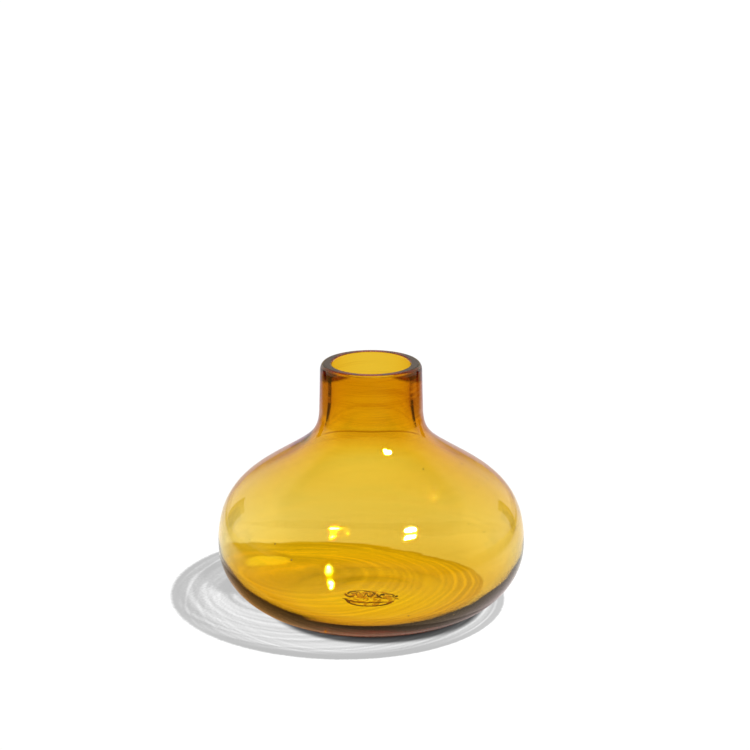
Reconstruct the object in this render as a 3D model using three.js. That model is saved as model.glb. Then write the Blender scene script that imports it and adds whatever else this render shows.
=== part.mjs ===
import * as THREE from "three";

// A squat bud vase blown from one gather of glass, with the dab of glass its pontil rod left under the base.
// Lengths are millimetres, +Z is up, the axis of the vase is the Z axis and the foot rests on z = 0.
// Every outline is a list of (distance from the axis, height) points, turned about the axis.

// Outer surface
const HEIGHT = 85.8;
const BELLY_RADIUS = 53;
const BELLY_HEIGHT = 22;
const FOOT_OUTER_RADIUS = 28;
const FOOT_INNER_RADIUS = 22;
const SHOULDER_TURN_RADIUS = 27;
const SHOULDER_TURN_HEIGHT = 55.4;
const SHOULDER_SLOPE = THREE.MathUtils.degToRad(33.8);
const NECK_RADIUS = 17.7;
const NECK_FOOT_HEIGHT = 70;
const LIP_RADIUS = 17.3;
const LIP_OUTER_ROUNDING_WIDTH = 1.5;
const LIP_OUTER_ROUNDING_HEIGHT = 2.4;

// Inner surface
const MOUTH_RADIUS = 13.3;
const LIP_INNER_ROUNDING = 0.8;
const BORE_FOOT_RADIUS = 13.4;
const BORE_FOOT_HEIGHT = 79;
const SHOULDER_WALL = 2.6;
const BELLY_WALL = 1.15;
const INNER_BELLY_HEIGHT = 22.3;
const FLOOR_EDGE_RADIUS = 25;
const FLOOR_EDGE_HEIGHT = 2.1;
const FLOOR_CENTRE_HEIGHT = 3.3;

// Underside: a shallow kick, and the pontil mark held inside it
const KICK_DEPTH = 1.4;
const PONTIL_RADIUS = 9;
const PONTIL_RIDGE_RADIUS = 7.2;
const PONTIL_RIDGE_HEIGHT = 0.1;
const PONTIL_DISH_HEIGHT = 0.45;
const PONTIL_EDGE_HEIGHT = 0.25;
const SEAM_GAP = 0.3;

// How far each curve's handle reaches along its tangent
const BELLY_HANDLE = 20;
const SHOULDER_HANDLE = 18.5;
const THROAT_HANDLE = 9;
const NECK_HANDLE = 6.7;
const INNER_BELLY_HANDLE = 19;
const INNER_SHOULDER_HANDLE = 17;
const INNER_THROAT_HANDLE = 14;
const BORE_HANDLE = 12;

// How finely the curves are cut
const TURN_STEPS = 64;
const HEEL_STEPS = 10;
const SHOULDER_STEPS = 8;
const THROAT_STEPS = 8;
const LIP_STEPS = 3;
const BASE_STEPS = 5;

const QUARTER_TURN = Math.PI / 2;

// Points on an ellipse with level and upright half-axes; angle 0 points away from the vase's axis.
function ellipseArc(centre, level, upright, startAngle, endAngle, steps) {
  const points = [];
  for (let step = 0; step <= steps; step += 1) {
    const angle = startAngle + ((endAngle - startAngle) * step) / steps;
    const x = centre.x + level * Math.cos(angle);
    const y = centre.y + upright * Math.sin(angle);
    points.push(new THREE.Vector2(x, y));
  }
  return points;
}

// A smooth bend that leaves `start` along startWay and reaches `end` along endWay.
function bend(start, startWay, startReach, end, endWay, endReach, steps) {
  const startHandle = start.clone().addScaledVector(startWay, startReach);
  const endHandle = end.clone().addScaledVector(endWay, -endReach);
  return new THREE.CubicBezierCurve(start, startHandle, endHandle, end).getPoints(steps);
}

// One outline from several stretches, with the shared end points kept once.
function chain(...stretches) {
  const outline = [];
  for (const point of stretches.flat()) {
    const last = outline.at(-1);
    if (!last || last.distanceTo(point) > 1e-6) {
      outline.push(point);
    }
  }
  return outline;
}

// A closed body turned from an outline that starts and ends on the axis.
function turned(name, outline, material) {
  const geometry = new THREE.LatheGeometry(outline, TURN_STEPS);
  geometry.rotateX(QUARTER_TURN);
  const mesh = new THREE.Mesh(geometry, material);
  mesh.name = name;
  return mesh;
}

const outward = new THREE.Vector2(1, 0);
const upward = new THREE.Vector2(0, 1);
const upTheShoulder = new THREE.Vector2(-Math.cos(SHOULDER_SLOPE), Math.sin(SHOULDER_SLOPE));
const shoulderNormal = new THREE.Vector2(Math.sin(SHOULDER_SLOPE), Math.cos(SHOULDER_SLOPE));

// The underside of the base, from the top of the kick to the inner edge of the foot ring.
const kickTop = new THREE.Vector2(0, KICK_DEPTH);
const footInner = new THREE.Vector2(FOOT_INNER_RADIUS, 0);
const kickReach = FOOT_INNER_RADIUS / 2;
const kickCurve = new THREE.CubicBezierCurve(
  kickTop,
  kickTop.clone().addScaledVector(outward, kickReach),
  footInner.clone().addScaledVector(outward, -kickReach / 2),
  footInner,
);

// The outside, from the outer edge of the foot ring up to the lip.
const heelCentre = new THREE.Vector2(FOOT_OUTER_RADIUS, BELLY_HEIGHT);
const heel = ellipseArc(
  heelCentre,
  BELLY_RADIUS - FOOT_OUTER_RADIUS,
  BELLY_HEIGHT,
  -QUARTER_TURN,
  0,
  HEEL_STEPS,
);
const shoulderTurn = new THREE.Vector2(SHOULDER_TURN_RADIUS, SHOULDER_TURN_HEIGHT);
const shoulder = bend(
  new THREE.Vector2(BELLY_RADIUS, BELLY_HEIGHT),
  upward,
  BELLY_HANDLE,
  shoulderTurn,
  upTheShoulder,
  SHOULDER_HANDLE,
  SHOULDER_STEPS,
);
const neckFoot = new THREE.Vector2(NECK_RADIUS, NECK_FOOT_HEIGHT);
const lipOuterEdge = new THREE.Vector2(LIP_RADIUS, HEIGHT - LIP_OUTER_ROUNDING_HEIGHT);
const upTheNeck = lipOuterEdge.clone().sub(neckFoot).normalize();
const throat = bend(
  shoulderTurn,
  upTheShoulder,
  THROAT_HANDLE,
  neckFoot,
  upTheNeck,
  NECK_HANDLE,
  THROAT_STEPS,
);

// The lip: a flat ring on top, with both of its edges rounded over.
const lipOuter = ellipseArc(
  new THREE.Vector2(LIP_RADIUS - LIP_OUTER_ROUNDING_WIDTH, lipOuterEdge.y),
  LIP_OUTER_ROUNDING_WIDTH,
  LIP_OUTER_ROUNDING_HEIGHT,
  0,
  QUARTER_TURN,
  LIP_STEPS,
);
const lipInner = ellipseArc(
  new THREE.Vector2(MOUTH_RADIUS + LIP_INNER_ROUNDING, HEIGHT - LIP_INNER_ROUNDING),
  LIP_INNER_ROUNDING,
  LIP_INNER_ROUNDING,
  QUARTER_TURN,
  2 * QUARTER_TURN,
  LIP_STEPS,
);

// The inside, from the mouth down to the middle of the floor.
const mouthEdge = lipInner.at(-1);
const boreFoot = new THREE.Vector2(BORE_FOOT_RADIUS, BORE_FOOT_HEIGHT);
const downTheBore = boreFoot.clone().sub(mouthEdge).normalize();
const downTheShoulder = upTheShoulder.clone().negate();
const downward = upward.clone().negate();
const innerShoulderTurn = shoulderTurn.clone().addScaledVector(shoulderNormal, -SHOULDER_WALL);
const innerThroat = bend(
  boreFoot,
  downTheBore,
  BORE_HANDLE,
  innerShoulderTurn,
  downTheShoulder,
  INNER_THROAT_HANDLE,
  THROAT_STEPS,
);
const innerBellyRadius = BELLY_RADIUS - BELLY_WALL;
const innerShoulder = bend(
  innerShoulderTurn,
  downTheShoulder,
  INNER_SHOULDER_HANDLE,
  new THREE.Vector2(innerBellyRadius, INNER_BELLY_HEIGHT),
  downward,
  INNER_BELLY_HANDLE,
  SHOULDER_STEPS,
);
const innerHeel = ellipseArc(
  new THREE.Vector2(FLOOR_EDGE_RADIUS, INNER_BELLY_HEIGHT),
  innerBellyRadius - FLOOR_EDGE_RADIUS,
  INNER_BELLY_HEIGHT - FLOOR_EDGE_HEIGHT,
  0,
  -QUARTER_TURN,
  HEEL_STEPS,
);
const inward = outward.clone().negate();
const floor = bend(
  new THREE.Vector2(FLOOR_EDGE_RADIUS, FLOOR_EDGE_HEIGHT),
  inward,
  FLOOR_EDGE_RADIUS / 2,
  new THREE.Vector2(0, FLOOR_CENTRE_HEIGHT),
  inward,
  FLOOR_EDGE_RADIUS / 2,
  BASE_STEPS,
);

const vesselOutline = chain(
  kickCurve.getPoints(BASE_STEPS),
  heel,
  shoulder,
  throat,
  lipOuter,
  lipInner,
  innerThroat,
  innerShoulder,
  innerHeel,
  floor,
);

// The pontil mark: a ring-shaped scar, dished in the middle, whose upper face follows the kick at the gap.
const pontilUnderside = [
  new THREE.Vector2(0, PONTIL_DISH_HEIGHT),
  new THREE.Vector2(PONTIL_RIDGE_RADIUS / 2, PONTIL_DISH_HEIGHT),
  new THREE.Vector2(PONTIL_RIDGE_RADIUS, PONTIL_RIDGE_HEIGHT),
  new THREE.Vector2(PONTIL_RADIUS, PONTIL_EDGE_HEIGHT),
];
const kickOverPontil = kickCurve
  .getPoints(2 * BASE_STEPS)
  .filter((point) => point.x < PONTIL_RADIUS)
  .map((point) => new THREE.Vector2(point.x, point.y - SEAM_GAP))
  .reverse();
const pontilOutline = chain(pontilUnderside, kickOverPontil);

const clearAmber = new THREE.MeshStandardMaterial({
  color: 0xe3b03c,
  roughness: 0.04,
  metalness: 0,
});
const brokenAmber = new THREE.MeshStandardMaterial({
  color: 0xcf9427,
  roughness: 0.3,
  metalness: 0,
});

const group = new THREE.Group();
group.add(turned("vessel", vesselOutline, clearAmber));
group.add(turned("pontil_mark", pontilOutline, brokenAmber));

export default group;
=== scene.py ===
import math

import bpy
import numpy as np
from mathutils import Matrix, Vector


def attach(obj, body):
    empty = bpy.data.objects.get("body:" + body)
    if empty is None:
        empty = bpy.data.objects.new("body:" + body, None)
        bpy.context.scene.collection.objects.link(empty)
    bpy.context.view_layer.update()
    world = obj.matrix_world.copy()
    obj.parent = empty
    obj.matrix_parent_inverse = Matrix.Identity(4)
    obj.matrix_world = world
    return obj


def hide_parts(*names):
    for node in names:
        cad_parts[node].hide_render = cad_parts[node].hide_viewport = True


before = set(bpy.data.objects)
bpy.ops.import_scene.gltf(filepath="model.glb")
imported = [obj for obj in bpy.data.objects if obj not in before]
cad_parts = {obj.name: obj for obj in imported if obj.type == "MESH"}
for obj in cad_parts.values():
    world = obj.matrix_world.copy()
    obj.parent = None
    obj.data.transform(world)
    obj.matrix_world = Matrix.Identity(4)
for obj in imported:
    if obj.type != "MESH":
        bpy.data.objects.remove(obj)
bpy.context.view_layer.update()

# Lengths are millimetres until a mesh, lamp or camera is placed; the shaders work in metres.
# x runs to the right, y away from the viewer and z up, with the foot of the vase on z = 0.
MM = 0.001
Q = math.pi / 2
TURN = 4 * Q


# ---------------------------------------------------------------- camera
CAMERA_PLACE = (1.33, -617.5, 261.6)
CAMERA_DOWN = math.radians(16.266)
FOCAL_LENGTH, SENSOR_WIDTH = 91.2, 36.0


def make_camera():
    """A long lens, a little above the vase, looking along +Y and down."""
    data = bpy.data.cameras.new("camera")
    data.lens = FOCAL_LENGTH
    data.sensor_width = SENSOR_WIDTH
    data.clip_start = 0.01
    data.clip_end = 100.0
    ob = bpy.data.objects.new("camera", data)
    ob.location = [v * MM for v in CAMERA_PLACE]
    ob.rotation_euler = (Q - CAMERA_DOWN, 0, 0)
    bpy.context.scene.collection.objects.link(ob)
    bpy.context.scene.camera = ob


# ---------------------------------------------------------------- the outline of the glass, in millimetres
BELLY_RADIUS, BELLY_HEIGHT = 53.0, 22.0
FOOT_OUTER, FOOT_INNER = 28.0, 22.0
SLOPE = math.radians(33.8)
SHOULDER_TURN = np.array([27.0, 55.4])
NECK_RADIUS, NECK_FOOT = 17.7, 70.0
HEIGHT, LIP_RADIUS, MOUTH_RADIUS = 85.8, 17.3, 13.3
LIP_OUTER_WIDE, LIP_OUTER_HIGH, LIP_INNER_ROUND = 1.5, 2.4, 0.8
BORE_RADIUS, BORE_FOOT = 13.4, 79.0
SHOULDER_WALL, BELLY_WALL = 2.6, 1.15
INNER_BELLY_HEIGHT = 22.3
FLOOR_EDGE = np.array([25.0, 2.1])
FLOOR_CENTRE = 3.3
KICK = 1.4


def bend(p0, way0, reach0, p3, way3, reach3, steps):
    """A smooth bend that leaves p0 along way0 and reaches p3 along way3."""
    p0, p3 = np.array(p0, float), np.array(p3, float)
    p1 = p0 + np.array(way0) * reach0
    p2 = p3 - np.array(way3) * reach3
    t = np.linspace(0, 1, steps + 1)[:, None]
    return (1 - t) ** 3 * p0 + 3 * (1 - t) ** 2 * t * p1 + 3 * (1 - t) * t**2 * p2 + t**3 * p3


def arc(centre, level, upright, start, end, steps):
    """Points on an ellipse; angle 0 points away from the vase's axis."""
    a = np.linspace(start, end, steps + 1)
    return np.stack([centre[0] + level * np.cos(a), centre[1] + upright * np.sin(a)], -1)


def unit(v):
    return np.array(v, float) / np.linalg.norm(v)


def make_outline():
    """The outline from the top of the kick, round the outside and the lip, to the middle of the floor."""
    up_shoulder = np.array([-math.cos(SLOPE), math.sin(SLOPE)])
    lip_edge = np.array([LIP_RADIUS, HEIGHT - LIP_OUTER_HIGH])
    mouth_edge = np.array([MOUTH_RADIUS, HEIGHT - LIP_INNER_ROUND])
    neck_foot = np.array([NECK_RADIUS, NECK_FOOT])
    bore_foot = np.array([BORE_RADIUS, BORE_FOOT])
    up_neck = unit(lip_edge - neck_foot)
    down_bore = unit(bore_foot - mouth_edge)
    inner_turn = SHOULDER_TURN - np.array([math.sin(SLOPE), math.cos(SLOPE)]) * SHOULDER_WALL
    inner_belly = BELLY_RADIUS - BELLY_WALL
    lip_out_centre = [LIP_RADIUS - LIP_OUTER_WIDE, HEIGHT - LIP_OUTER_HIGH]
    lip_in_centre = [MOUTH_RADIUS + LIP_INNER_ROUND, HEIGHT - LIP_INNER_ROUND]
    lip_out = arc(lip_out_centre, LIP_OUTER_WIDE, LIP_OUTER_HIGH, 0, Q, 14)
    lip_in = arc(lip_in_centre, LIP_INNER_ROUND, LIP_INNER_ROUND, Q, 2 * Q, 8)
    belly = [BELLY_RADIUS, BELLY_HEIGHT]
    floor_reach = FLOOR_EDGE[0] / 2
    parts = {
        "under": bend([0, KICK], [1, 0], FOOT_INNER / 2, [FOOT_INNER, 0], [1, 0], FOOT_INNER / 4, 62),
        "foot": np.linspace([FOOT_INNER, 0], [FOOT_OUTER, 0], 7),
        "heel": arc([FOOT_OUTER, BELLY_HEIGHT], BELLY_RADIUS - FOOT_OUTER, BELLY_HEIGHT, -Q, 0, 48),
        "shoulder": bend(belly, [0, 1], 20, SHOULDER_TURN, up_shoulder, 18.5, 52),
        "throat": bend(SHOULDER_TURN, up_shoulder, 9, neck_foot, up_neck, 6.7, 28),
        "neck": np.linspace(neck_foot, lip_edge, 18),
        "lip_out": lip_out,
        "lip_top": np.linspace(lip_out[-1], lip_in[0], 7),
        "lip_in": lip_in,
        "bore": np.linspace(mouth_edge, bore_foot, 15),
        "in_throat": bend(bore_foot, down_bore, 12, inner_turn, -up_shoulder, 14, 38),
        "in_shoulder": bend(inner_turn, -up_shoulder, 17, [inner_belly, INNER_BELLY_HEIGHT], [0, -1], 19, 48),
        "in_heel": arc([FLOOR_EDGE[0], INNER_BELLY_HEIGHT], inner_belly - FLOOR_EDGE[0],
                       INNER_BELLY_HEIGHT - FLOOR_EDGE[1], 0, -Q, 44),
        "floor": bend(FLOOR_EDGE, [-1, 0], floor_reach, [0, FLOOR_CENTRE], [-1, 0], floor_reach, 30),
    }
    points, names = [], []
    for name, part in parts.items():
        for p in part:
            if not points or np.hypot(*(p - points[-1])) > 1e-6:
                points.append(p)
                names.append(name)
    return np.array(points), np.array(names)


class Outline:
    """The cross-section's line, with its normals and a table of signed distances round it.

    p are its points, s how far along it each is, t and n its directions and outward normals there.
    """

    def __init__(self, points, step=0.2, margin=3.0):
        self.p = points
        seg = np.diff(points, axis=0)
        self.s = np.concatenate([[0], np.cumsum(np.hypot(seg[:, 0], seg[:, 1]))])
        t = np.gradient(points, self.s, axis=0)
        t[0] = (1, 0)
        t[-1] = (-1, 0)
        self.t = t / np.hypot(t[:, 0], t[:, 1])[:, None]
        self.n = np.stack([self.t[:, 1], -self.t[:, 0]], -1)
        self.step, self.z0 = step, -margin
        self.nr = int((points[:, 0].max() + margin) / step) + 2
        self.nz = int((points[:, 1].max() + 2 * margin) / step) + 2
        rr = np.arange(self.nr) * step
        zz = self.z0 + np.arange(self.nz) * step
        grid = np.stack(np.meshgrid(rr, zz, indexing="ij"), -1).reshape(-1, 2)
        self.near = np.empty(len(grid), np.int32)
        size2 = (points**2).sum(1)
        batch = 20000
        for a in range(0, len(grid), batch):
            part = grid[a:a + batch]
            self.near[a:a + batch] = np.argmin(size2[None] - 2 * part @ points.T, axis=1)
        off = grid - points[self.near]
        along = np.clip((off * self.t[self.near]).sum(1), -0.6, 0.6)
        across = (off * self.n[self.near]).sum(1)
        d = np.maximum(np.sqrt(np.maximum((off**2).sum(1) - along**2, 0)), np.abs(across))
        self.table = (np.sign(across) * d).astype(np.float32)

    def distance(self, r, z):
        """How far a point is from the glass: above zero in the air, below zero in the glass."""
        u = np.clip(r / self.step, 0, self.nr - 1.001)
        v = np.clip((z - self.z0) / self.step, 0, self.nz - 1.001)
        i, j = u.astype(np.int32), v.astype(np.int32)
        fu, fv = u - i, v - j
        k, d = i * self.nz + j, self.table
        low = d[k] * (1 - fv) + d[k + 1] * fv
        high = d[k + self.nz] * (1 - fv) + d[k + self.nz + 1] * fv
        return low * (1 - fu) + high * fu

    def place(self, r, z):
        """How far along the line the point nearest to (r, z) is."""
        u = np.clip(r / self.step, 0, self.nr - 1.501)
        v = np.clip((z - self.z0) / self.step, 0, self.nz - 1.501)
        i = self.near[(u + 0.5).astype(np.int32) * self.nz + (v + 0.5).astype(np.int32)]
        off = np.stack([r, z], -1) - self.p[i]
        return self.s[i] + (off * self.t[i]).sum(1)


# ---------------------------------------------------------------- unevenness of hand-blown glass
SEGMENTS = 224
SHAPE_SEED, BUBBLE_SEED, LIGHT_SEED = 11, 29, 5
CORDS, FINE_CORDS = 44, 30
# the reach of the random phases, just under a full turn
AROUND = 6.28


def smooth_step(a, b, x):
    t = np.clip((x - a) / (b - a), 0.0, 1.0)
    return t * t * (3 - 2 * t)


def ridge(x, y, points, height, width):
    """A soft ridge of the given height along a line through the points, in millimetres."""
    best = np.full(x.shape, 1e9)
    for (x0, y0), (x1, y1) in zip(points[:-1], points[1:]):
        dx, dy = x1 - x0, y1 - y0
        u = np.clip(((x - x0) * dx + (y - y0) * dy) / (dx * dx + dy * dy), 0, 1)
        best = np.minimum(best, np.hypot(x - x0 - u * dx, y - y0 - u * dy))
    return height * np.exp(-(best / width) ** 2)


def loop(centre, wide, deep, start, end, steps=28, wobble=0.0, turns=3):
    """Points on an oval from one angle to another, in degrees, with its size wobbling a little."""
    a = np.radians(np.linspace(start, end, steps))
    k = 1 + wobble * np.sin(turns * a)
    return [(centre[0] + wide * c * q, centre[1] + deep * d * q) for c, d, q in zip(np.cos(a), np.sin(a), k)]


# The scar's middle on the underside, and its size against the drawing in pontil_scar.
SCAR = np.array([0.0, -6.8])
SCAR_SIZE = 0.88


def pontil_scar(x, y):
    """The mark of the broken-off pontil rod: lips, two torn loops and folds, as depths into the underside."""
    x, y = (x - SCAR[0]) / SCAR_SIZE, (y - SCAR[1]) / SCAR_SIZE
    out = ridge(x, y, loop((-0.2, -0.4), 10.3, 10.0, 186, 352), 0.22, 0.75)
    out += ridge(x, y, loop((-0.4, -0.6), 8.6, 7.6, 190, 340), -0.30, 0.75)
    out += ridge(x, y, loop((-4.2, 5.2), 5.2, 4.6, -40, 220, wobble=0.05), -0.40, 0.75)
    out += ridge(x, y, loop((-4.0, 4.8), 3.9, 3.2, 20, 200, wobble=0.12, turns=5), 0.30, 0.60)
    out += ridge(x, y, loop((6.4, 2.6), 3.2, 2.7, -20, 250, wobble=0.08), -0.40, 0.70)
    out += ridge(x, y, loop((6.8, 2.4), 1.6, 1.3, -60, 200), 0.28, 0.55)
    out += ridge(x, y, [(-9.6, -0.6), (-6.6, -3.2), (-3.0, -4.2), (1.5, -4.4), (6.0, -3.6)], -0.40, 0.80)
    for x0, lean in ((-6.6, 0.6), (-5.2, -0.9), (-2.6, 0.8), (-1.2, -0.6), (0.4, 0.7)):
        out += ridge(x, y, [(x0, 0.4), (x0 + lean, 3.4), (x0 + 0.4 * lean, 6.0)], 0.20, 0.34)
    out += ridge(x, y, [(2.0, 0.4), (3.2, 2.2), (3.4, 4.4)], -0.22, 0.42)
    return out


def unevenness(line, names, places, fine=0.0):
    """How far the surface stands out along its normal, in millimetres: one row for each place on the line."""
    rng = np.random.default_rng(SHAPE_SEED)
    s = places[:, None]
    phi = (np.arange(SEGMENTS) * TURN / SEGMENTS)[None]
    out = np.zeros((len(places), SEGMENTS))
    start = {n: line.s[np.argmax(names == n)] for n in dict.fromkeys(names)}
    total = line.s[-1]

    def window(a, b, soft):
        return smooth_step(a, a + soft, s) * (1 - smooth_step(b - soft, b, s))

    outside = window(start["heel"] + 2, start["lip_out"] + 0.5, 10)
    inside = window(start["bore"], total - 4, 9)
    # slow out-of-round and wall changes
    out += outside * (0.07 * np.cos(2 * phi + 0.6) + 0.03 * np.cos(3 * phi + 2.0 + s / 25) - 0.11)
    out += inside * (0.14 * np.cos(phi - 0.3) + 0.05 * np.cos(2 * phi + 1.9 + s / 30))
    # cords: faint ridges that wind round the body, a few of them long
    for k in range(CORDS):
        length = rng.uniform(2.0, 5.5) if k % 5 else rng.uniform(7, 14)
        turns = rng.integers(-1, 2)
        phase = rng.uniform(0, TURN)
        slope = rng.uniform(0.0008, 0.0034)
        drift = rng.uniform(0.5, 2.5)
        wave = np.sin(TURN * s / length + turns * phi + phase
                      + drift * np.sin(phi + rng.uniform(0, AROUND)))
        band = 0.5 + 0.5 * np.sin(phi * rng.integers(1, 3) + s / rng.uniform(12, 40) + rng.uniform(0, AROUND))
        out += slope * length / TURN * wave * band * (1.3 * inside + 0.5 * outside)
    # finer cords that only the light on the floor shows
    for k in range(FINE_CORDS if fine else 0):
        length, turns = rng.uniform(0.9, 2.4), rng.integers(-2, 3)
        wave = np.sin(TURN * s / length + turns * phi
                      + rng.uniform(0.5, 3) * np.sin(phi + rng.uniform(0, AROUND)))
        where = rng.uniform(0, total)
        patch = np.exp(-((s - where) / rng.uniform(6, 16)) ** 2)
        patch = patch * (0.5 + 0.5 * np.cos(phi - rng.uniform(0, AROUND)))
        out += fine * length / TURN * wave * patch * (inside + outside)
    under = places < start["foot"]
    r = np.interp(places[under], line.s, line.p[:, 0])[:, None]
    out[under] -= pontil_scar(r * np.cos(phi), r * np.sin(phi))
    return out


# ---------------------------------------------------------------- light through the glass
# Refractive index, and how fast red, green and blue fade in the glass, for each millimetre.
INDEX = 1.5
ABSORB = np.array([0.046, 0.158, 0.74])
# A ray is on a surface when it is this near, after it has gone far enough to have left the last one.
TOUCH, LEAVE, STEP_OFF = 0.003, 0.02, 0.012
MARCH_STEPS, SURFACES = 90, 10
RAY_BATCH = 250000


def march(line, pos, way, inside):
    """Moves each ray on to the next surface of the glass, or to the ground. Returns which ones met glass."""
    hit = np.zeros(len(pos), bool)
    gone = np.zeros(len(pos))
    sign = np.where(inside, -1.0, 1.0)
    act = np.arange(len(pos))
    for _ in range(MARCH_STEPS):
        p = pos[act]
        r = np.hypot(p[:, 0], p[:, 1])
        d = sign[act] * line.distance(r, p[:, 2])
        touch = (d < TOUCH) & (gone[act] > LEAVE)
        low = (p[:, 2] <= 0) & ~inside[act]
        away = (p[:, 2] > HEIGHT + 4) | ((way[act, 2] > 0) & (r > BELLY_RADIUS + 3))
        hit[act[touch & ~low]] = True
        keep = ~(touch | low | away)
        act = act[keep]
        if not len(act):
            break
        go = np.maximum(d[keep] * 0.98, 0.01)
        pos[act] += way[act] * go[:, None]
        gone[act] += go
    return hit, gone


def refract(way, normal, inside):
    """Snell's law: new directions, the share let through, and which rays turned back inside the glass."""
    cos_i = -(way * normal).sum(1)
    ratio = np.where(inside, INDEX, 1 / INDEX)
    sin2 = ratio**2 * (1 - cos_i**2)
    back = sin2 >= 1
    cos_t = np.sqrt(np.maximum(1 - sin2, 0))
    new = ratio[:, None] * way + (ratio * cos_i - cos_t)[:, None] * normal
    n1, n2 = np.where(inside, INDEX, 1.0), np.where(inside, 1.0, INDEX)
    rs = (n1 * cos_i - n2 * cos_t) / (n1 * cos_i + n2 * cos_t + 1e-9)
    rp = (n1 * cos_t - n2 * cos_i) / (n1 * cos_t + n2 * cos_i + 1e-9)
    through = 1 - 0.5 * (rs**2 + rp**2)
    new[back] = way[back] + 2 * cos_i[back, None] * normal[back]
    through[back] = 1
    return new / np.linalg.norm(new, axis=1)[:, None], through, back


class LightMap:
    """Collects light on a grid of the floor; 1 is the light with no vase in the way."""

    def __init__(self, low, high, cell):
        self.low, self.cell = low, cell
        self.nx, self.ny = [int(round((high[i] - low[i]) / cell)) for i in (0, 1)]
        self.open = np.zeros(self.nx * self.ny)
        self.total = np.zeros((self.nx * self.ny, 3))

    def add(self, x, y, share=None):
        fx, fy = (x - self.low[0]) / self.cell, (y - self.low[1]) / self.cell
        i, j = np.floor(fx).astype(int), np.floor(fy).astype(int)
        fx, fy = fx - i, fy - j
        for a, wa in ((0, 1 - fx), (1, fx)):
            for b, wb in ((0, 1 - fy), (1, fy)):
                ii, jj = i + a, j + b
                ok = (ii >= 0) & (ii < self.nx) & (jj >= 0) & (jj < self.ny)
                k, w = ii[ok] * self.ny + jj[ok], (wa * wb)[ok]
                if share is None:
                    self.open += np.bincount(k, w, minlength=len(self.open))
                    continue
                for c in range(3):
                    self.total[:, c] += np.bincount(k, share[ok, c] * w, minlength=len(self.total))


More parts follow.
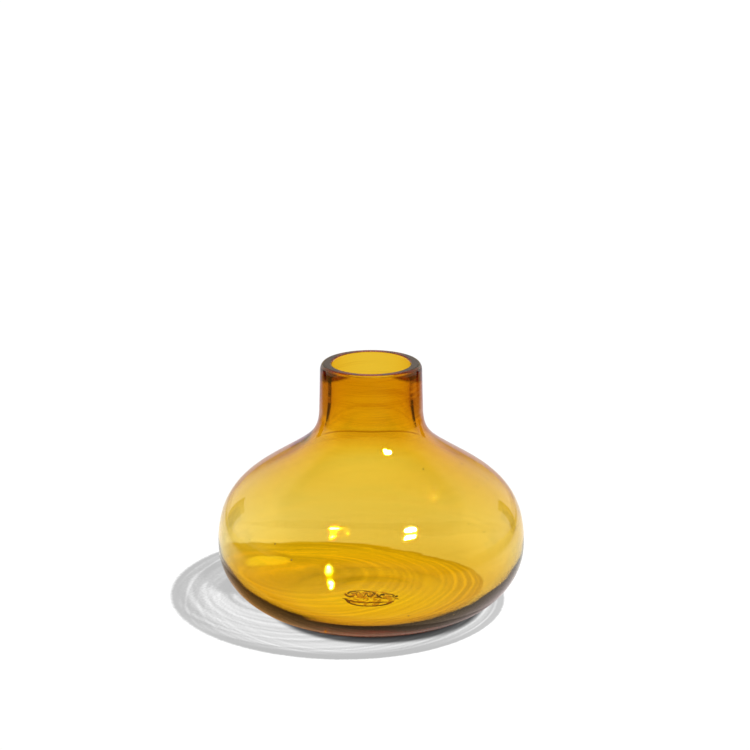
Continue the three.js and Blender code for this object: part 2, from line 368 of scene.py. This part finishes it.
def trace_light(line, places, bumps, light, light_radius, low, high, cell, side):
    """Follows light from a small lamp through the vase to the floor, with side x side rays for each cell.

    Gives two tables of the floor: light that met no glass, and light that came through it.
    """
    rng = np.random.default_rng(LIGHT_SEED)
    chart = LightMap(low, high, cell)
    fine = cell / side
    gx = low[0] + (np.arange(chart.nx * side) + 0.5) * fine - cell / 2
    gy = low[1] + (np.arange(chart.ny * side) + 0.5) * fine - cell / 2
    X, Y = [a.ravel() for a in np.meshgrid(gx, gy, indexing="ij")]
    n = len(X)
    X += (rng.random(n) - 0.5) * fine
    Y += (rng.random(n) - 0.5) * fine
    aim = -unit(light)
    e1 = unit(np.cross(aim, [0, 0, 1.0]))
    e2 = np.cross(aim, e1)
    rad, ang = light_radius * np.sqrt(rng.random(n)), rng.random(n) * TURN
    src = light + rad[:, None] * (np.cos(ang)[:, None] * e1 + np.sin(ang)[:, None] * e2)
    way = np.stack([X, Y, np.zeros(n)], -1) - src
    way /= np.linalg.norm(way, axis=1)[:, None]
    start = src + way * ((HEIGHT + 1 - src[:, 2]) / way[:, 2])[:, None]
    seg = np.stack([X, Y], -1) - start[:, :2]
    u = np.clip(-(start[:, :2] * seg).sum(1) / (seg**2).sum(1), 0, 1)
    closest = start[:, :2] + u[:, None] * seg
    meets = np.hypot(closest[:, 0], closest[:, 1]) < BELLY_RADIUS + 0.3
    chart.add(X[~meets], Y[~meets])
    idx = np.nonzero(meets)[0]
    d_s = np.gradient(bumps, places, axis=0)
    wide = np.concatenate([bumps[:, -1:], bumps, bumps[:, :1]], axis=1)
    d_phi = (wide[:, 2:] - wide[:, :-2]) / (2 * TURN / SEGMENTS)
    rows = np.arange(len(places))
    for a in range(0, len(idx), RAY_BATCH):
        m = idx[a:a + RAY_BATCH]
        pos, way_m = start[m].copy(), way[m].copy()
        # on to the upright cylinder that just holds the vase
        A, B = (way_m[:, :2]**2).sum(1), (pos[:, :2] * way_m[:, :2]).sum(1)
        C = (pos[:, :2]**2).sum(1) - (BELLY_RADIUS + 0.5)**2
        reach = (-B - np.sqrt(np.maximum(B * B - A * C, 0))) / np.maximum(A, 1e-9)
        pos += way_m * np.where(C > 0, np.maximum(reach, 0), 0)[:, None]
        inside = np.zeros(len(m), bool)
        power, glass = np.ones(len(m)), np.zeros(len(m))
        live = np.arange(len(m))
        for _ in range(SURFACES):
            P, D, I = pos[live], way_m[live], inside[live]
            hit, gone = march(line, P, D, I)
            glass[live] += np.where(I, gone, 0)
            pos[live] = P
            landed = live[~hit & (P[:, 2] <= 0.0)]
            w = way_m[landed]
            q = pos[landed] - w * (pos[landed, 2] / w[:, 2])[:, None]
            free = glass[landed] < LEAVE
            chart.add(q[free, 0], q[free, 1])
            tinted = power[landed, None] * np.exp(-glass[landed, None] * ABSORB)
            chart.add(q[~free, 0], q[~free, 1], tinted[~free])
            live = live[hit]
            if not len(live):
                break
            P, D, I = pos[live], way_m[live], inside[live]
            # the surface's normal where each ray meets it, tilted by the unevenness
            r = np.maximum(np.hypot(P[:, 0], P[:, 1]), 1e-6)
            c, s_ = P[:, 0] / r, P[:, 1] / r
            along = line.place(r, P[:, 2])
            nr, nz = np.interp(along, line.s, line.n[:, 0]), np.interp(along, line.s, line.n[:, 1])
            row = np.interp(along, places, rows)
            col = (np.arctan2(s_, c) / TURN % 1) * SEGMENTS
            i, j = np.minimum(row.astype(int), len(rows) - 2), col.astype(int) % SEGMENTS
            fi, fj, k = row - i, col - col.astype(int), (j + 1) % SEGMENTS
            ds, dp = [(t[i, j] * (1 - fj) + t[i, k] * fj) * (1 - fi)
                      + (t[i + 1, j] * (1 - fj) + t[i + 1, k] * fj) * fi for t in (d_s, d_phi)]
            dp = dp / np.maximum(r, 0.5)
            N = np.stack([nr * c, nr * s_, nz], -1)
            N -= np.stack([-nz * c, -nz * s_, nr], -1) * ds[:, None]
            N -= np.stack([-s_, c, np.zeros_like(r)], -1) * dp[:, None]
            N /= np.linalg.norm(N, axis=1)[:, None]
            N[(N * D).sum(1) > 0] *= -1
            new, through, turned = refract(D, N, I)
            way_m[live] = new
            power[live] *= through
            inside[live] = np.where(turned, I, ~I)
            pos[live] = P + new * STEP_OFF
    shape = (chart.nx, chart.ny)
    return chart.open.reshape(shape) / side**2, chart.total.reshape(*shape, 3) / side**2


# ---------------------------------------------------------------- meshes
def add_object(name, verts, faces, smooth=True):
    me = bpy.data.meshes.new(name)
    me.from_pydata([tuple(v) for v in verts], [], faces)
    me.update()
    if smooth:
        me.polygons.foreach_set("use_smooth", np.ones(len(me.polygons), bool))
    ob = bpy.data.objects.new(name, me)
    bpy.context.scene.collection.objects.link(ob)
    return ob


def make_vessel(line, names, bumps):
    """The whole gather as one closed skin: one ring of points for each point of the outline."""
    phi = np.arange(SEGMENTS) * TURN / SEGMENTS
    ring = line.p[1:-1, None] + line.n[1:-1, None] * bumps[1:-1, :, None]
    x, y = ring[..., 0] * np.cos(phi), ring[..., 0] * np.sin(phi)
    body = np.stack([x, y, ring[..., 1]], -1).reshape(-1, 3)
    low = [0, 0, line.p[0, 1] - bumps[0].mean()]
    high = [0, 0, line.p[-1, 1] + bumps[-1].mean()]
    verts = np.concatenate([body, [low, high]]) * MM
    n, m = SEGMENTS, len(line.s) - 2
    a = np.arange(m - 1)[:, None] * n + np.arange(n)[None]
    b = np.arange(m - 1)[:, None] * n + (np.arange(n)[None] + 1) % n
    quads = np.stack([a, b, b + n, a + n], -1).reshape(-1, 4).tolist()
    fan = [(m * n, (j + 1) % n, j) for j in range(n)]
    last = (m - 1) * n
    fan += [(last + j, last + (j + 1) % n, m * n + 1) for j in range(n)]
    bubbles, skins = seed_bubbles(line, names)
    skins = [tuple(k + len(verts) for k in f) for f in skins]
    return add_object("amber_vessel", np.concatenate([verts, bubbles * MM]), quads + fan + skins)


BUBBLES = 26
BUBBLE_DEPTH = 0.62
BUBBLE_RINGS, BUBBLE_SIDES = 6, 10


def seed_bubbles(line, names):
    """Tiny air bubbles in the middle of the wall, each a closed skin facing its own inside."""
    rng = np.random.default_rng(BUBBLE_SEED)
    lowest, highest = line.s[np.argmax(names == "heel")] + 12, line.s[np.argmax(names == "throat")]
    verts, faces = [], []
    for _ in range(BUBBLES):
        s = rng.uniform(lowest, highest)
        phi, size = rng.uniform(0, TURN), rng.uniform(0.16, 0.32)
        r, z = [np.interp(s, line.s, line.p[:, k]) - BUBBLE_DEPTH * np.interp(s, line.s, line.n[:, k])
                for k in (0, 1)]
        first = len(verts)
        centre = np.array([r * math.cos(phi), r * math.sin(phi), z])
        rings, around = BUBBLE_RINGS, BUBBLE_SIDES
        for i in range(1, rings):
            up = math.pi * i / rings - Q
            for j in range(around):
                turn = TURN * j / around
                level = math.cos(up)
                way = np.array([level * math.cos(turn), level * math.sin(turn), math.sin(up)])
                verts.append(centre + size * way)
        verts += [centre - [0, 0, size], centre + [0, 0, size]]
        low, high = len(verts) - 2, len(verts) - 1
        last = first + (rings - 2) * around
        for j in range(around):
            k = (j + 1) % around
            faces += [(first + k, first + j, low), (last + j, last + k, high)]
            for i in range(rings - 2):
                a = first + i * around
                faces.append((a + j, a + k, a + around + k, a + around + j))
    return np.array(verts), [f[::-1] for f in faces]


def blend(values, x, y):
    """Looks a table of floor values up at other places, given in cells."""
    x, y = np.clip(x, 0, values.shape[0] - 1.001), np.clip(y, 0, values.shape[1] - 1.001)
    i, j = x.astype(int), y.astype(int)
    u, v = x - i, y - j
    if values.ndim == 3:
        u, v = u[..., None], v[..., None]
    return ((values[i, j] * (1 - v) + values[i, j + 1] * v) * (1 - u)
            + (values[i + 1, j] * (1 - v) + values[i + 1, j + 1] * v) * u)


def blur(values, reach):
    """A box blur over a few cells either way, done twice."""
    k = max(int(round(reach)), 1)
    for _ in range(2):
        for axis in (0, 1):
            pad = [(k + 1, k) if a == axis else (0, 0) for a in range(values.ndim)]
            total = np.cumsum(np.pad(values, pad, mode="edge"), axis=axis)
            size = values.shape[axis]
            ahead = np.take(total, range(2 * k + 1, size + 2 * k + 1), axis=axis)
            values = (ahead - np.take(total, range(size), axis=axis)) / (2 * k + 1)
    return values


# Painted light on the floor: what reaches a shadowed place from all round, and what the lamp adds where
# nothing is in its way.
AMBIENT, DIRECT = 0.50, 0.56
# The share of red, green and blue light through the glass in the grey shadow.
GREY_SHARES = np.array([0.25, 0.65, 0.10])
# The middle of the painted contact shade, a dark ring where the heel comes down to the floor, a little off
# the axis.
CONTACT_SHADE = (1.5, -0.5)
# Painted light seen through the vase: the light from all round, the gain on light through the glass, and the
# most there is.
AMBER_AMBIENT = np.array([0.68, 0.55, 0.02])
AMBER_GAIN = np.array([0.44, 0.62, 0.4])
AMBER_LIMIT = (1.25, 1.06, 0.4)
# The floor lies just under the foot, and reaches far past everything.
FLOOR_HEIGHT, FLOOR_REACH = -0.02, 12000


def drawn_in(X, Y, spot):
    """Where to look the painted light seen through the vase up.

    The far half of the shadow is drawn in towards the vase, and the bright spot is moved a little and
    made smaller.
    """
    spot[X > -15] = 0
    i, j = np.unravel_index(np.argmax(spot), spot.shape)
    lens = np.array([X[i, j], Y[i, j]])
    stretch = 1 + 0.15 * smooth_step(-62, -30, X) + 0.13 * smooth_step(-5, 30, X)
    Yw = np.where(Y > 10, 10 + (Y - 10) * stretch, Y)
    Xw = np.where(X > -10, -10 + (X + 10) * 1.11, X)
    dx, dy = Xw - lens[0] + 2.1, Yw - lens[1] - 7.0
    pull = np.exp(-(dx / 17) ** 2 - (dy / 15) ** 2)
    return Xw + pull * (2.1 + 0.5 * dx), Yw + pull * (0.9 * dy - 7.0)


def make_floor(outer, inner, low, cell):
    """A level white floor whose middle holds the traced light and shadow, painted in as values at each point.
    """
    nx, ny = outer[0].shape
    X, Y = np.meshgrid(low[0] + np.arange(nx) * cell, low[1] + np.arange(ny) * cell, indexing="ij")
    # painted shadow on the floor seen straight: the shadow's own grey, darkest where the heel overhangs the
    # floor
    clear, glass = outer
    through = glass @ GREY_SHARES
    near_edge = smooth_step(0.0, 0.4, blur(clear, 2.5 / cell))
    through += (blur(through, 2.5 / cell) - through) * near_edge
    # painted shade: the shadow darkens along its front rim
    front_rim_shade = smooth_step(0.0, 0.25, blur(clear, 5.0 / cell)) * smooth_step(-22, -46, Y)
    through *= 1 - 0.9 * front_rim_shade
    painted_shadow = AMBIENT + DIRECT * (clear + through)
    # painted contact shade: a dark ring where the heel comes down to the floor
    away = np.hypot(X - CONTACT_SHADE[0], Y - CONTACT_SHADE[1])
    painted_shadow *= smooth_step(32.0, 37.0, away) * 0.12 + smooth_step(36.5, 39.5, away) * 0.86 + 0.02
    # painted light and shadow on the floor seen through the vase: all of it is amber
    Xw, Yw = drawn_in(X, Y, blur(inner[1][..., 1], 3 / cell))
    clear, glass = [blend(v, (Xw - low[0]) / cell, (Yw - low[1]) / cell) for v in inner]
    amber = clear[..., None] + (1 - np.minimum(clear, 1))[..., None] * AMBER_AMBIENT
    amber += AMBER_GAIN * glass
    amber = np.minimum(amber, np.maximum(clear[..., None], AMBER_LIMIT))
    verts = np.stack([X, Y, np.full_like(X, FLOOR_HEIGHT)], -1).reshape(-1, 3)
    k = np.arange(nx - 1)[:, None] * ny + np.arange(ny - 1)[None]
    faces = np.stack([k, k + ny, k + ny + 1, k + 1], -1).reshape(-1, 4).tolist()
    corner = [0, (nx - 1) * ny, nx * ny - 1, ny - 1]
    n = nx * ny
    signs = ((-1, -1), (1, -1), (1, 1), (-1, 1))
    around = [(a * FLOOR_REACH, b * FLOOR_REACH, FLOOR_HEIGHT) for a, b in signs]
    for i in range(4):
        j = (i + 1) % 4
        faces.append((n + i, n + j, corner[j], corner[i]))
    verts = np.concatenate([verts, around]) * MM
    ob = add_object("floor", verts, faces, smooth=False)
    rim = np.zeros((nx, ny), bool)
    rim[0], rim[-1], rim[:, 0], rim[:, -1] = True, True, True, True
    for name, values in (("painted_shadow", np.stack([painted_shadow] * 3, -1)), ("amber", amber)):
        colour = np.ones((len(verts), 4), np.float32)
        values[rim] = 1
        colour[:n, :3] = values.reshape(-1, 3)
        layer = ob.data.color_attributes.new(name, "FLOAT_COLOR", "POINT")
        layer.data.foreach_set("color", colour.ravel())
    return ob


# ---------------------------------------------------------------- materials
class Nodes:
    """Short hand for building node trees."""

    def __init__(self, tree):
        self.t = tree

    def add(self, kind, inputs=None, **settings):
        node = self.t.nodes.new("ShaderNode" + kind)
        for k, v in settings.items():
            setattr(node, k, v)
        for k, v in (inputs or {}).items():
            self.put(v, node.inputs[k])
        return node

    def put(self, value, socket):
        if isinstance(value, bpy.types.NodeSocket):
            self.t.links.new(value, socket)
        else:
            socket.default_value = value

    def math(self, operation, *values):
        return self.add("Math", dict(enumerate(values)), operation=operation).outputs[0]

    def ramp(self, value, a, b, low=0.0, high=1.0):
        """A smooth step from low at a to high at b."""
        steps = {0: value, 1: a, 2: b, 3: low, 4: high}
        return self.add("MapRange", steps, interpolation_type="SMOOTHSTEP").outputs[0]

    def times(self, first, *others):
        for other in others:
            first = self.math("MULTIPLY", first, other)
        return first

    def mix(self, share, a, b, blend="MIX"):
        node = self.add("Mix", {0: share, 6: a, 7: b}, data_type="RGBA", blend_type=blend)
        return node.outputs[2]


def new_material(name):
    mat = bpy.data.materials.new(name)
    mat.use_nodes = True
    return mat, Nodes(mat.node_tree)


# Colours laid over the clear glass; each multiplies the one before. The lip's crescents, the neck's foot line
# and the scar are painted shade.
STREAK = (0.84, 0.76, 0.6, 1)
NECK_GLASS = (1.0, 0.985, 0.60, 1)
LIP_CRESCENT_SHADE = (0.11, 0.018, 0.004, 1)
CREASE_SHADE = (0.50, 0.34, 0.12, 1)
SCAR_SHADE = (0.44, 0.20, 0.05, 1)
EDGE_TINT = (1.0, 0.85, 0.1, 1)
# The height of the painted shade line at the neck's foot, and how far it drops at CREASE_SIDE from the
# middle.
CREASE_HEIGHT, CREASE_DROP, CREASE_SIDE = 0.067, 0.0051, 0.018
# A density high enough that the absorption's colour stays between 0 and 1.
DENSITY = 1000


def glass_material():
    """Clear amber glass that absorbs by depth, with streaks, and painted shade at the lip's crescents, the
    neck's foot and the scar.
    """
    mat, n = new_material("amber_glass")
    b = n.t.nodes["Principled BSDF"]
    b.inputs["Base Color"].default_value = (1, 1, 1, 1)
    b.inputs["Roughness"].default_value = 0.0
    b.inputs["IOR"].default_value = INDEX
    b.inputs["Transmission Weight"].default_value = 1.0
    b.inputs["Specular Tint"].default_value = EDGE_TINT
    # drawn-out streaks of darker glass, strongest on the neck, and a faint wave in the surface
    at = n.add("TexCoord").outputs["Object"]
    stretched = n.add("VectorMath", {0: at, 1: (22, 22, 760)}, operation="MULTIPLY").outputs[0]
    grain = {"Vector": stretched, "Scale": 1.0, "Detail": 4.0, "Roughness": 0.6}
    streaks = n.add("TexNoise", grain).outputs[0]
    x, y, z = n.add("SeparateXYZ", {0: at}).outputs
    wide = n.math("ABSOLUTE", x)
    radius = n.math("SQRT", n.math("ADD", n.times(x, x), n.times(y, y)))
    high_up = n.ramp(z, 0.056, 0.068, 0.12, 1.0)
    amount = n.times(n.ramp(streaks, 0.50, 0.72), high_up)
    colour = n.mix(n.ramp(z, 0.034, 0.058), (1, 1, 1, 1), NECK_GLASS)
    colour = n.mix(amount, colour, STREAK, "MULTIPLY")
    # painted shade: dark red crescents just under the lip, on the front half and widest at the two sides, for
    # the dark the lip's rounding shows
    slant = n.math("MULTIPLY_ADD", wide, 0.46, z)
    under_lip = n.times(n.ramp(radius, 0.0157, 0.0162), n.ramp(z, 0.0848, 0.0855, 1.0, 0.0))
    lip_crescent_shade = n.times(n.ramp(slant, 0.0876, 0.0888), under_lip, n.ramp(y, 0.0, 0.003, 1.0, 0.0))
    colour = n.mix(lip_crescent_shade, colour, LIP_CRESCENT_SHADE, "MULTIPLY")
    # painted shade: a brown line on the front where the neck meets the shoulder, lower at the two sides, for
    # the dark that bend shows
    dip = n.math("POWER", n.math("DIVIDE", wide, CREASE_SIDE), 3.2)
    level = n.math("MULTIPLY_ADD", dip, CREASE_DROP, z)
    off_line = n.math("ABSOLUTE", n.math("SUBTRACT", level, CREASE_HEIGHT))
    crease_shade = n.times(n.ramp(off_line, 0.0001, 0.0004, 1.0, 0.0), n.ramp(radius, 0.0172, 0.0175))
    crease_shade = n.times(crease_shade, n.ramp(y, 0.002, 0.006, 1.0, 0.0), n.ramp(wide, 0.0145, 0.0170, 1.0, 0.0))
    colour = n.mix(crease_shade, colour, CREASE_SHADE, "MULTIPLY")
    # painted shade: brown patches in the scar the pontil rod left, for the dark its folds show
    middle = (SCAR[0] * MM, SCAR[1] * MM, 0)
    off = n.add("VectorMath", {0: at, 1: middle}, operation="SUBTRACT").outputs[0]
    away = n.add("VectorMath", {0: off}, operation="LENGTH").outputs["Value"]
    folds = n.add("TexNoise", {"Vector": off, "Scale": 260.0, "Detail": 3.0, "Distortion": 1.6}).outputs[0]
    scar_shade = n.times(n.ramp(folds, 0.42, 0.52), n.ramp(away, 0.0070, 0.0088, 1.0, 0.0))
    scar_shade = n.times(scar_shade, n.ramp(z, 0.0022, 0.0026, 1.0, 0.0))
    colour = n.mix(scar_shade, colour, SCAR_SHADE, "MULTIPLY")
    n.put(colour, b.inputs["Base Color"])
    wave = {"Strength": 0.5, "Distance": 0.00008, "Height": n.times(streaks, high_up)}
    n.put(n.add("Bump", wave).outputs[0], b.inputs["Normal"])
    tint = (*(1 - ABSORB / MM / DENSITY), 1)
    depth = n.add("VolumeAbsorption", {"Color": tint, "Density": DENSITY})
    n.put(depth.outputs[0], n.t.nodes["Material Output"].inputs["Volume"])
    return mat


def mirrored(n):
    """The Light Path node, and 1 for reflected light or 0 for light seen straight or through the glass."""
    path = n.add("LightPath")
    return path, n.math("GREATER_THAN", path.outputs["Glossy Depth"], 0.5)


# Painted reflection tones: the floor's colours as reflections see them, by where they fall.
LEFT_TONE, RIGHT_TONE = (1.0, 0.50, 0.15, 1), (1.0, 0.86, 0.88, 1)
BEHIND_TONE, FAR_BEHIND_TONE = (1.0, 0.97, 0.92, 1), (0.68, 0.60, 0.64, 1)
BESIDE_TONE = (0.50, 0.34, 0.08, 1)
# The glow of the floor and of the surroundings, just over full white.
WHITE = 1.03


def floor_material():
    """White floor that glows with the painted light and shadow traced for it: as seen straight, or amber
    through the vase.
    """
    mat, n = new_material("floor")
    n.t.nodes.clear()
    painted_shadow = n.add("Attribute", attribute_name="painted_shadow").outputs["Color"]
    amber = n.add("Attribute", attribute_name="amber").outputs["Color"]
    path, reflected = mirrored(n)
    seen = n.mix(path.outputs["Is Camera Ray"], amber, painted_shadow)
    at = n.add("NewGeometry").outputs["Position"]
    x, y, _ = n.add("SeparateXYZ", {0: at}).outputs
    radius = n.add("VectorMath", {0: at}, operation="LENGTH").outputs["Value"]
    # painted reflection shade: darker in front and tinted by side, only where reflections see the floor
    reflection_shade = n.math("ADD", n.ramp(y, -0.24, -0.07, 0.28, 0.85), n.ramp(y, -0.03, 0.03, 0.0, 0.15))
    aside = n.times(n.ramp(n.math("ABSOLUTE", x), 0.15, 0.21), n.ramp(y, 0.20, 0.30, 1.0, 0.0))
    tone = n.mix(aside, n.mix(n.ramp(x, -0.05, 0.06), LEFT_TONE, RIGHT_TONE), BESIDE_TONE)
    tone = n.mix(n.ramp(y, -0.02, 0.04), tone, n.mix(aside, BEHIND_TONE, BESIDE_TONE))
    tone = n.mix(n.ramp(y, 0.14, 0.24), tone, n.mix(aside, FAR_BEHIND_TONE, BESIDE_TONE))
    grey = n.add("CombineColor", dict.fromkeys(range(3), reflection_shade)).outputs[0]
    tone = n.mix(1.0, tone, grey, "MULTIPLY")
    reflection = n.mix(1.0, n.mix(n.ramp(radius, 0.020, 0.028), amber, painted_shadow), tone, "MULTIPLY")
    glow = n.add("Emission", {"Color": n.mix(reflected, seen, reflection), "Strength": WHITE})
    n.put(glow.outputs[0], n.add("OutputMaterial").inputs[0])
    return mat


# ---------------------------------------------------------------- light
# The lamp that makes the highlights, and the two places the floor's light is traced from.
KEY = np.array([139.0, -135.6, 350.0])
SHADOW_KEY = np.array([216.4, -102.4, 508.0])
GLASS_KEY = np.array([212.0, -183.0, 508.0])
LAMP_RADIUS = 9.0
AIM = np.array([0, 0, 30])
# Bluish, so that highlights seen through the amber are nearly white; it lights nothing else.
KEY_COLOUR = (0.10, 0.20, 1.0)
KEY_POWER = 400.0
KEY_WIDE, KEY_HIGH = 0.042, 0.022
# The surroundings that reflections see: a wall by its height and side, and the dark above it and in front.
LOW_WALL, WALL = (0.66, 0.50, 0.22, 1), (0.62, 0.53, 0.50, 1)
SIDE_WALL, UNLIT = (1.0, 0.93, 0.90, 1), (0.34, 0.27, 0.20, 1)


def make_lights():
    """One small soft lamp for the highlights, and surroundings that are white except in reflections."""
    key = bpy.data.lights.new("key", "AREA")
    key.shape = "ELLIPSE"
    key.size, key.size_y = KEY_WIDE, KEY_HIGH
    key.energy = KEY_POWER
    key.color = KEY_COLOUR
    ob = bpy.data.objects.new("key", key)
    ob.rotation_euler = Vector(AIM - KEY).to_track_quat("-Z", "Y").to_euler()
    ob.location = KEY * MM
    bpy.context.scene.collection.objects.link(ob)
    world = bpy.data.worlds.new("world")
    bpy.context.scene.world = world
    world.use_nodes = True
    n = Nodes(world.node_tree)
    x, y, z = n.add("SeparateXYZ", {0: n.add("TexCoord").outputs["Generated"]}).outputs
    _, reflected = mirrored(n)
    lit = n.times(n.ramp(z, 0.64, 0.76, 1.0, 0.0), n.ramp(y, -0.45, 0.05))
    behind = n.mix(n.ramp(z, 0.12, 0.22), LOW_WALL, WALL)
    wall = n.mix(n.ramp(n.math("ABSOLUTE", x), 0.25, 0.5), behind, SIDE_WALL)
    reflection = n.mix(lit, UNLIT, wall)
    n.put(n.mix(reflected, (1, 1, 1, 1), reflection), n.t.nodes["Background"].inputs[0])
    n.t.nodes["Background"].inputs[1].default_value = WHITE


# Each dark card: its side, half its width and the height of its lower edge.
CARDS = (("card_left", -1, 32.0, 15.0), ("card_right", 1, 22.0, 9.0))
CARD_DISTANCE, CARD_TOP = 250.0, 110.0
CARD_OUTWARD, CARD_ACROSS = np.array([0.829, 0.559]), np.array([0.559, -0.829])
CARD_COLOUR = (0.05, 0.02, 0.01, 1)


def make_cards():
    """Two dark cards on either side behind the vase, which the clear glass edges pick up."""
    mat, n = new_material("card")
    n.t.nodes.clear()
    dark = n.add("Emission", {"Color": CARD_COLOUR, "Strength": 1.0})
    n.put(dark.outputs[0], n.add("OutputMaterial").inputs[0])
    for name, side, wide, low in CARDS:
        ends = [CARD_OUTWARD * CARD_DISTANCE + CARD_ACROSS * wide * lean for lean in (-1, 1)]
        corners = ((ends[0], low), (ends[1], low), (ends[1], CARD_TOP), (ends[0], CARD_TOP))
        verts = [(side * end[0], end[1], height) for end, height in corners]
        card = add_object(name, np.array(verts) * MM, [(0, 1, 2, 3)], smooth=False)
        card.data.materials.append(mat)
        card.visible_camera = False


# ---------------------------------------------------------------- build
# The part of the floor that holds traced light, its cells and the rays across each.
LOW, HIGH = (-100.0, -60.0), (66.0, 86.0)
CELL = 0.4
RAYS_ACROSS = 3
# The tracer's own, finer table of the unevenness, with fine cords of this slope.
PLACE_STEP = 0.2
FINE_SLOPE = 0.0035

make_camera()
points, names = make_outline()
line = Outline(points)
bumps = unevenness(line, names, line.s)
places = np.arange(0, line.s[-1], PLACE_STEP)
cords = unevenness(line, names, places, fine=FINE_SLOPE)
outer, inner = [trace_light(line, places, cords, lamp, LAMP_RADIUS, LOW, HIGH, CELL, RAYS_ACROSS)
                for lamp in (SHADOW_KEY, GLASS_KEY)]
vessel = make_vessel(line, names, bumps)
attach(vessel, "root")
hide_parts("vessel", "pontil_mark")
vessel.data.materials.append(glass_material())
ground = make_floor(outer, inner, LOW, CELL)
ground.data.materials.append(floor_material())
make_lights()
make_cards()

scene = bpy.context.scene
scene.view_settings.view_transform = "Standard"
scene.view_settings.look = "None"
scene.cycles.max_bounces = 24
scene.cycles.transmission_bounces = 20
scene.cycles.glossy_bounces = 12
scene.cycles.diffuse_bounces = 4
scene.cycles.caustics_refractive = True
scene.cycles.caustics_reflective = True
scene.cycles.use_denoising = True
scene.cycles.sample_clamp_indirect = 0
